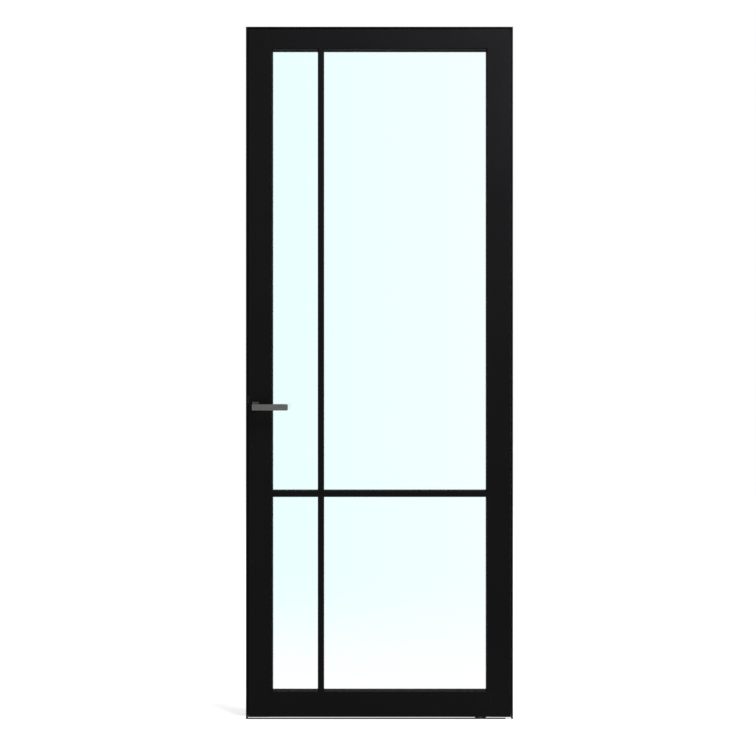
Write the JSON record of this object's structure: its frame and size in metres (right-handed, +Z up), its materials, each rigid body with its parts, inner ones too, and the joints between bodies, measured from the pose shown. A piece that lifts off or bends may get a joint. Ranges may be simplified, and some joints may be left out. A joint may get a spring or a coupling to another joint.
{
  "type": "glass door",
  "caption": "Tall black framed glass door with off-centre glazing bars, a flat lever latch and hidden pivots in a slim frame.",
  "frame": {"origin": "floor level at the middle of the frame, on the leaf's mid-plane", "axes": "+X towards the pivot side, +Y away from the viewer, +Z up"},
  "size_m": [0.896, 0.134, 2.323],
  "materials": {
    "frame_black": "satin powder coat",
    "leaf_black": "satin powder coat",
    "clear_glass": "polished",
    "seal_rubber": "matt",
    "brush_pile": "matt pile",
    "black_polymer": "matt",
    "cast_alloy": "as cast",
    "bearing_brass": "turned",
    "satin_steel": "satin brushed",
    "zinc_steel": "zinc plated"
  },
  "bodies": {
    "frame": {"latch_jamb": "frame_black", "pivot_jamb": "frame_black", "head": "frame_black", "floor_strip": "frame_black", "strike_plate": "satin_steel", "strike_screws": "zinc_steel", "jamb_seal": "seal_rubber", "head_seal": "seal_rubber", "bottom_pivot": "zinc_steel", "pivot_screws": "zinc_steel", "thrust_washer": "bearing_brass", "top_bush": "bearing_brass"},
    "leaf": {"lock_stile": "leaf_black", "pivot_stile": "leaf_black", "top_rail": "leaf_black", "bottom_rail": "leaf_black", "corner_blocks": "cast_alloy", "corner_screws": "zinc_steel", "top_pivot_block": "cast_alloy", "top_pivot_pin": "satin_steel", "bottom_pivot_block": "cast_alloy", "bottom_bush": "bearing_brass", "glass_pane": "clear_glass", "setting_blocks": "black_polymer", "gasket_front": "seal_rubber", "gasket_back": "seal_rubber", "bead_left": "leaf_black", "bead_right": "leaf_black", "bead_top": "leaf_black", "bead_bottom": "leaf_black", "vertical_bar_front": "leaf_black", "crossbar_left_front": "leaf_black", "crossbar_right_front": "leaf_black", "vertical_bar_back": "leaf_black", "crossbar_left_back": "leaf_black", "crossbar_right_back": "leaf_black", "bar_tape_front": "black_polymer", "bar_tape_back": "black_polymer", "edge_brush": "brush_pile", "top_brush": "brush_pile", "lock_case": "zinc_steel", "lock_cover": "zinc_steel", "lock_forend": "satin_steel", "forend_anchors": "zinc_steel", "forend_screws": "zinc_steel", "latch_spring": "satin_steel", "rosette_base_front": "black_polymer", "rosette_base_back": "black_polymer", "rosette_front": "satin_steel", "rosette_back": "satin_steel", "rosette_screws": "zinc_steel"},
    "levers": {"lever_front": "satin_steel", "lever_back": "satin_steel", "spindle": "zinc_steel", "hub": "zinc_steel", "grub_screws": "zinc_steel"},
    "latch": {"latch_bolt": "satin_steel"}
  },
  "joints": [
    {"name": "leaf_swing", "type": "hinge", "parent": "frame", "child": "leaf", "pos_m": [0.34, 0, 0], "axis": [0, 0, 1], "range_deg": [0, 90]},
    {"name": "lever_turn", "type": "hinge", "parent": "leaf", "child": "levers", "pos_m": [-0.415, 0, 1.047], "axis": [0, 1, 0], "range_deg": [0, 40], "stiffness_Nm_per_rad": 1.2, "springref_deg": -22.92},
    {"name": "latch_slide", "type": "slide", "parent": "leaf", "child": "latch", "axis": [1, 0, 0], "range_m": [0, 0.0075], "deforming": ["latch_spring"]}
  ],
  "couplings": [
    {"joint": "latch_slide", "follows": "lever_turn", "m_per_rad": 0.010743}
  ]
}
